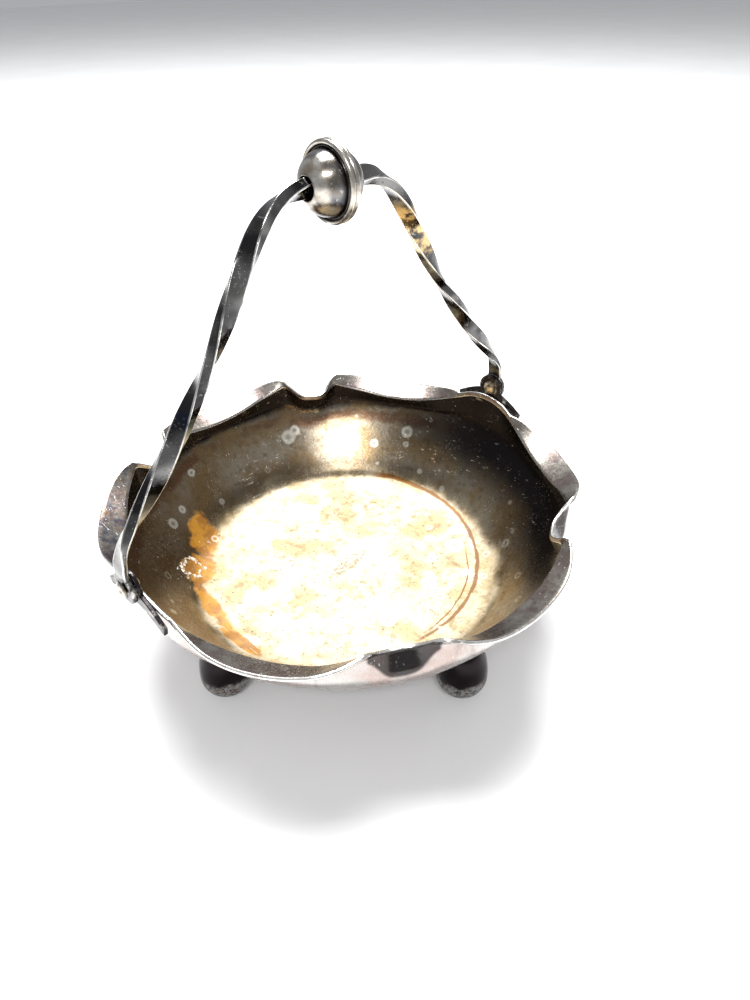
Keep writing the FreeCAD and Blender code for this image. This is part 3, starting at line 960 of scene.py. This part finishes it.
def outer_tarnish_and_dark_reflection(paint):
    cloud = paint.noise(13.0, 14.0, 4.0, 0.55)
    colour = paint.blend(paint.rise(cloud, 0.40, 0.62), OUTER_GREY, OUTER_MAUVE)
    drips = paint.rise(paint.noise(5.0, 15.0, 4.0, 0.65, (1.0, 1.0, 0.35)), 0.54, 0.70)
    colour = paint.blend(paint.times(drips, 0.5), colour, OUTER_DARK)
    notch = paint.attribute("notch")
    # painted dark reflection: the outside of each notch scoop near the rim is painted near-black
    scoop_dark_reflection = paint.times(paint.rise(paint.add(paint.z, paint.times(notch, 8.0)), 46.6, 47.8),
                        paint.rise(notch, 0.02, 0.10))
    return paint.blend(paint.times(scoop_dark_reflection, 0.9), colour, WALL_BLACK), scoop_dark_reflection


def water_rings(paint):
    """Pale rings left by drying drops: the big ones placed, small ones scattered."""
    rings = 0.0
    dots = 0.0
    for k, (x, y, z, size) in enumerate(WATER_SPOTS):
        d = paint.add(paint.distance_to(x, y, z), paint.times(paint.noise(1.5, 20.0 + k), 0.5))
        ring = paint.band(d, size * 0.62, size * 0.92, size * 0.28)
        fill = paint.times(paint.rise(d, size * 0.9, size * 1.05, 1.0, 0.0), 0.45)
        ring = paint.most(ring, fill)
        dot = paint.rise(d, 0.30, 0.62, 1.0, 0.0)
        rings = ring if k == 0 else paint.most(rings, ring)
        dots = dot if k == 0 else paint.most(dots, dot)
    far, pick = paint.cells(8.0, 4.0)
    chosen = paint.rise(pick, 0.60, 0.64)
    small = paint.times(paint.band(far, 0.11, 0.15, 0.04), chosen)
    return paint.most(rings, paint.times(small, 0.6)), dots


def amber_stain(paint):
    """Dried yellow-brown residue on the left, running down along the floor's edge."""
    blot = 0.0
    wander = paint.times(paint.add(paint.noise(5.0, 40.0, 4.0, 0.6), -0.5), 1.3)
    for k, (x, y, long, wide, turn) in enumerate(AMBER_BLOTS):
        d = paint.add(paint.spot_distance(x, y, long, wide, turn), wander)
        one = paint.rise(d, 0.75, 1.05, 1.0, 0.0)
        blot = one if k == 0 else paint.most(blot, one)
    return blot


def brown_arcs(paint):
    """Two thin rings of dried liquid that follow the edge of the floor on one side."""
    arcs = 0.0
    for k, (x, y, radius, half, aim, spread) in enumerate(BROWN_ARCS):
        wander = paint.times(paint.add(paint.noise(9.0, 50.0 + k, 2.0), -0.5), 1.6)
        d = paint.add(paint.spot_distance(x, y), wander)
        thick = paint.times(paint.noise(7.0, 53.0 + k), 1.6)
        off = paint.math("DIVIDE", paint.math("ABSOLUTE", paint.add(d, -radius)), thick)
        line = paint.rise(off, half * 0.6, half * 1.4, 1.0, 0.0)
        line = paint.times(line, paint.rise(paint.toward(aim), spread, spread + 0.12))
        arcs = line if k == 0 else paint.most(arcs, line)
    return arcs


def crust(paint):
    """White flakes round the thickest part of the stain."""
    wander = paint.times(paint.add(paint.noise(2.5, 60.0, 4.0, 0.7), -0.5), 2.6)
    d = paint.add(paint.spot_distance(*CRUST_AT), wander)
    flake = paint.rise(paint.noise(1.1, 61.0, 4.0, 0.7), 0.46, 0.52)
    return paint.times(paint.band(d, 0.80, 1.05, 0.06), flake)


def smudge(paint):
    d = paint.add(paint.spot_distance(*SMUDGE_AT), paint.times(paint.noise(1.4, 70.0, 3.0, 0.7), 0.7))
    return paint.times(paint.band(d, 0.62, 1.15, 0.25), paint.rise(paint.noise(0.9, 71.0), 0.35, 0.6))


def bowl_material():
    paint = Paint("bowl_plate_tarnish_and_painted_shade")
    height = paint.attribute("height")
    outside = paint.attribute("outside")
    uneven = paint.add(paint.radius(), paint.times(paint.add(paint.noise(9.0, 30.0, 4.0), -0.5), 9.0))
    film, small = floor_film(paint)
    # the wall colour carries painted dark reflection and painted shade; dark is the near-black painted reflection
    # mask
    wall, dark = wall_tarnish_and_painted_shade(paint, height)
    on_wall = paint.rise(uneven, 42.0, 51.0)
    colour = paint.blend(on_wall, film, wall)
    stain = amber_stain(paint)
    colour = paint.blend(paint.times(stain, 0.85), colour,
                         paint.blend(paint.rise(paint.noise(4.0, 41.0), 0.4, 0.6), AMBER, AMBER_DEEP))
    arcs = brown_arcs(paint)
    colour = paint.blend(paint.times(arcs, 0.9), colour, ARC_BROWN)
    rings, dots = water_rings(paint)
    in_dark = paint.rise(dark, 0.3, 0.8, 0.75, 0.12)
    colour = paint.blend(paint.times(rings, in_dark), colour, RING_PALE)
    colour = paint.blend(paint.times(dots, 0.85), colour, SPECK)
    colour = paint.blend(paint.times(smudge(paint), 0.7), colour, SMUDGE_GREY)
    flakes = crust(paint)
    colour = paint.blend(flakes, colour, CRUST_WHITE)
    on_lip = paint.rise(height, 0.748, 0.762)
    colour = paint.blend(on_lip, colour, lip_tarnish(paint))
    # outer skin: tarnish, with painted dark reflection in the notch scoops
    outer, scoop_dark_reflection = outer_tarnish_and_dark_reflection(paint)
    is_outside = paint.rise(outside, 0.75, 0.85)
    colour = paint.blend(is_outside, colour, outer)
    # painted highlight and wear: bare silver along the fold line and the rolled rim edge
    bright_silver_mask = paint.most(paint.times(paint.band(height, 0.742, 0.752, 0.012), paint.rise(outside, 0.0, 0.1, 1.0, 0.0)),
                      paint.band(outside, 0.2, 0.7, 0.1))
    bright_silver_mask = paint.times(bright_silver_mask, paint.rise(paint.noise(5.0, 80.0), 0.3, 0.5, 0.45, 1.0))
    colour = paint.blend(bright_silver_mask, colour, BARE_SILVER)
    lines = scratches(paint, 90.0)
    colour = paint.blend(paint.times(lines, 0.35), colour, BARE_SILVER)
    film_share = paint.times(paint.rise(on_wall, 0.0, 1.0, 1.0, 0.0), paint.rise(outside, 0.0, 0.2, 1.0, 0.0))
    dull = paint.most(paint.most(film_share, paint.times(stain, 0.7)), flakes)
    metallic = paint.rise(dull, 0.0, 1.0, 0.95, 0.25)
    grain = paint.noise(1.1, 95.0, 3.0, 0.7)
    roughness = paint.add(paint.rise(dull, 0.0, 1.0, 0.27, 0.50), paint.times(paint.add(grain, -0.5), 0.28))
    roughness = paint.add(roughness, paint.times(scoop_dark_reflection, paint.times(is_outside, -0.12)))
    relief = paint.add(paint.times(small, 0.6), paint.times(grain, 0.35))
    relief = paint.add(relief, paint.times(lines, -0.4))
    relief = paint.add(relief, paint.times(paint.add(flakes, paint.times(stain, 0.3)), 2.0))
    return paint.finish(colour, metallic, roughness, relief, 0.06)


def handle_material():
    paint = Paint("handle_plate_polished")
    cloud = paint.noise(16.0, 1.0, 3.0, 0.5)
    # painted dark reflection: the bar's faces are near-black, mixed in clouds with grey
    colour = paint.blend(paint.rise(cloud, 0.42, 0.60), HANDLE_DARK_REFLECTION, HANDLE_GREY)
    tint = paint.noise(11.0, 2.0, 2.0, 0.5)
    colour = paint.blend(paint.times(paint.rise(tint, 0.56, 0.68), 0.7), colour, HANDLE_BLUE)
    green = paint.rise(paint.noise(13.0, 3.0, 2.0, 0.5), 0.60, 0.70)
    colour = paint.blend(paint.times(green, 0.6), colour, HANDLE_GREEN)
    brassy = paint.rise(paint.spot_distance(27.0, 0.0), 5.0, 11.0, 1.0, 0.0)
    high = paint.band(paint.z, 110.0, 120.0, 3.0)
    patch = paint.times(paint.times(brassy, high), paint.rise(paint.noise(4.0, 4.0), 0.40, 0.55))
    colour = paint.blend(paint.times(patch, 0.9), colour, BRASS_WORN)
    # painted highlight and wear: bare silver along the bar's rounded edges
    edge = paint.attribute("edge")
    bright_silver_mask = paint.times(paint.rise(edge, 0.6, 1.0), paint.rise(paint.noise(6.0, 5.0), 0.35, 0.60, 0.15, 1.0))
    colour = paint.blend(bright_silver_mask, colour, BARE_SILVER)
    lines = scratches(paint, 10.0)
    colour = paint.blend(paint.times(lines, 0.4), colour, BARE_SILVER)
    pits = paint.rise(paint.noise(0.8, 20.0, 3.0, 0.7), 0.60, 0.72)
    colour = paint.blend(paint.times(pits, 0.5), colour, SPECK)
    roughness = paint.add(paint.rise(cloud, 0.35, 0.65, 0.13, 0.24), paint.times(pits, 0.25))
    relief = paint.add(paint.times(pits, -0.5), paint.times(paint.noise(6.0, 21.0, 2.0), 1.2))
    return paint.finish(colour, 1.0, roughness, relief, 0.05)


def bead_material():
    paint = Paint("bead_silver_satin")
    dy = paint.y
    dz = paint.add(paint.z, -BEAD_Z)
    out = paint.math("SQRT", paint.add(paint.times(dy, dy), paint.times(dz, dz)))
    cloud = paint.noise(5.0, 31.0, 4.0, 0.6)
    colour = paint.blend(paint.rise(cloud, 0.42, 0.62), BEAD_LIGHT, BEAD_WARM)
    # painted dark reflection: dark blue ring round the lower part of the dome
    ring = paint.band(out, 5.9, 6.9, 0.8)
    colour = paint.blend(paint.times(ring, paint.rise(cloud, 0.3, 0.6, 0.95, 0.55)), colour, BEAD_RING_REFLECTION)
    # painted shade in the groove and round the hole, and darker patches towards the bottom of the bead
    groove = paint.band(out, 7.0, 7.7, 0.35)
    low = paint.rise(dz, -1.0, -6.5)
    groove_hole_shade_and_low_dark = paint.most(groove, paint.times(low, paint.rise(paint.noise(3.0, 32.0), 0.35, 0.6)))
    hole = paint.rise(out, 2.5, 3.2, 1.0, 0.0)
    groove_hole_shade_and_low_dark = paint.most(groove_hole_shade_and_low_dark, hole)
    colour = paint.blend(paint.times(groove_hole_shade_and_low_dark, 0.85), colour, WALL_BLACK)
    lines = scratches(paint, 33.0)
    colour = paint.blend(paint.times(lines, 0.4), colour, BARE_SILVER)
    grain = paint.noise(0.8, 36.0, 3.0, 0.6)
    roughness = paint.add(paint.times(grain, 0.2), 0.14)
    return paint.finish(colour, 1.0, roughness, paint.add(grain, paint.times(cloud, 1.5)), 0.02)


def foot_material():
    paint = Paint("foot_metal_pitted")
    wander = paint.times(paint.add(paint.noise(4.0, 41.0, 3.0), -0.5), 5.0)
    up = paint.add(paint.z, wander)
    # painted dark reflection: the upper part of each foot is near-black and glossy
    dark_top_reflection = paint.rise(up, 7.5, 9.5)
    pits = paint.rise(paint.noise(0.9, 42.0, 4.0, 0.7), 0.45, 0.6)
    colour = paint.blend(pits, FOOT_GREY, FOOT_DARK)
    colour = paint.blend(paint.times(paint.rise(paint.noise(2.5, 43.0), 0.56, 0.66), 0.5), colour, FOOT_RUST)
    colour = paint.blend(dark_top_reflection, colour, WALL_BLACK)
    bright_silver_mask = paint.rise(paint.z, 0.3, 1.2, 1.0, 0.0)
    colour = paint.blend(paint.times(bright_silver_mask, 0.6), colour, BARE_SILVER)
    roughness = paint.rise(dark_top_reflection, 0.0, 1.0, 0.42, 0.10)
    relief = paint.times(pits, paint.rise(dark_top_reflection, 0.0, 1.0, -1.0, -0.1))
    return paint.finish(colour, 1.0, roughness, relief, 0.06)


def dark_metal_material(name, light, dark, seed, roughness):
    """Blackened metal with rubbed high spots; used for lugs, eyes and solder."""
    paint = Paint(name)
    cloud = paint.noise(2.8, seed, 4.0, 0.6)
    colour = paint.blend(paint.rise(cloud, 0.52, 0.68), dark, light)
    grain = paint.noise(0.6, seed + 1.0, 3.0, 0.7)
    colour = paint.blend(paint.times(paint.rise(grain, 0.58, 0.7), 0.5), colour, SPECK)
    rough = paint.add(paint.times(grain, 0.35), roughness)
    return paint.finish(colour, 1.0, rough, paint.add(grain, cloud), 0.05)


def rivet_material():
    """Brass-coloured where rubbed, brown in clouds, with painted shade round the rim of the head."""
    paint = Paint("rivet_brass_worn")
    dy = paint.y
    dz = paint.add(paint.z, -PIVOT_Z)
    out = paint.math("SQRT", paint.add(paint.times(dy, dy), paint.times(dz, dz)))
    cloud = paint.noise(1.3, 61.0, 4.0, 0.6)
    near_side = paint.rise(paint.x, -40.0, 40.0)
    centre = paint.blend(near_side, RIVET_SILVER, RIVET_BRASS)
    colour = paint.blend(paint.rise(cloud, 0.45, 0.65), centre, RIVET_BROWN)
    # painted shade: near-black ring round the edge of each head, where it meets the plate
    rim = paint.rise(out, HEAD_R - 0.9, HEAD_R - 0.1)
    colour = paint.blend(paint.times(rim, 0.8), colour, WALL_BLACK)
    grain = paint.noise(0.5, 62.0, 3.0, 0.6)
    return paint.finish(colour, 1.0, paint.add(paint.times(grain, 0.3), 0.18), grain, 0.04)


# ================================ scene ========================================

def floor_material():
    """Matt pale table, almost even."""
    paint = Paint("floor_pale")
    colour = paint.blend(paint.rise(paint.noise(90.0, 1.0), 0.3, 0.7), (0.93, 0.93, 0.93), (0.90, 0.90, 0.90))
    return paint.finish(colour, 0.0, 0.85, paint.noise(2.0, 2.0), 0.02)


def set_camera():
    e = math.radians(CAMERA_ELEVATION)
    a = math.radians(CAMERA_AZIMUTH)
    back = Vector((math.sin(a) * math.cos(e), -math.cos(a) * math.cos(e), math.sin(e)))
    data = bpy.data.cameras.new("camera")
    data.lens = CAMERA_LENS
    data.sensor_width = 36.0
    data.shift_y = CAMERA_SHIFT
    data.clip_start = 0.005
    data.clip_end = 50.0
    bpy.context.scene.view_settings.view_transform = "Standard"
    camera = bpy.data.objects.new("camera", data)
    bpy.context.scene.collection.objects.link(camera)
    camera.location = (Vector(CAMERA_TARGET) + back * CAMERA_DISTANCE) * MM
    turn = back.to_track_quat("Z", "Y").to_matrix()
    camera.rotation_euler = (turn @ Matrix.Rotation(math.radians(-CAMERA_ROLL), 3, "Z")).to_euler()
    bpy.context.scene.camera = camera


def add_light(name, location, target, width, depth, power, colour=(1.0, 1.0, 1.0)):
    data = bpy.data.lights.new(name, "AREA")
    data.shape = "RECTANGLE"
    data.size = width
    data.size_y = depth
    data.energy = power
    data.color = colour
    light = bpy.data.objects.new(name, data)
    bpy.context.scene.collection.objects.link(light)
    light.location = location
    aim = Vector(location) - Vector(target)
    light.rotation_euler = aim.to_track_quat("Z", "Y").to_euler()


def set_stage():
    size = 3.0
    mesh = bpy.data.meshes.new("floor")
    mesh.from_pydata([(-size, -size, 0), (size, -size, 0), (size, size, 0), (-size, size, 0)], [], [(0, 1, 2, 3)])
    floor = bpy.data.objects.new("floor", mesh)
    bpy.context.scene.collection.objects.link(floor)
    floor.data.materials.append(floor_material())
    world = bpy.data.worlds.new("studio")
    bpy.context.scene.world = world
    world.use_nodes = True
    world.node_tree.nodes["Background"].inputs[0].default_value = WORLD_COLOUR
    world.node_tree.nodes["Background"].inputs[1].default_value = WORLD_STRENGTH
    for light in LIGHTS:
        add_light(*light)


def place(obj, body, material, node=None):
    obj.data.materials.clear()
    obj.data.materials.append(material)
    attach(obj, body)
    if node:
        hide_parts(node)


def build():
    bowl_paint = bowl_material()
    foot_paint = foot_material()
    solder_paint = dark_metal_material("solder_dull", SOLDER_LIGHT, SOLDER_DARK, 3.0, 0.35)
    lug_paint = dark_metal_material("lug_metal_blackened", LUG_LIGHT, LUG_DARK, 51.0, 0.12)
    eye_paint = dark_metal_material("handle_eye_rubbed", EYE_LIGHT, EYE_DARK, 57.0, 0.10)
    rivet_paint = rivet_material()
    bead_paint = bead_material()
    place(make_bowl(), "body", bowl_paint, "bowl")
    for number, angle in enumerate(FOOT_ANGLES, 1):
        place(make_foot(number, angle), "body", foot_paint, "foot_%d" % number)
        place(make_solder_collar(number, angle), "body", solder_paint)
    place(make_bar(), "handle", handle_material(), "handle_bar")
    for name, side in (("right", 1), ("left", -1)):
        place(make_lug("lug_plate_" + name, side), "body", lug_paint, "lug_" + name)
        place(make_lug_solder("lug_solder_" + name, side), "body", solder_paint)
        place(make_rivet("rivet_domed_" + name, side), "body", rivet_paint, "rivet_" + name)
        place(make_eye("handle_eye_" + name, side), "handle", eye_paint)
        place(make_bead_half("bead_dome_" + name, side), "handle", bead_paint, "bead_half_" + name)


set_camera()
set_stage()
build()
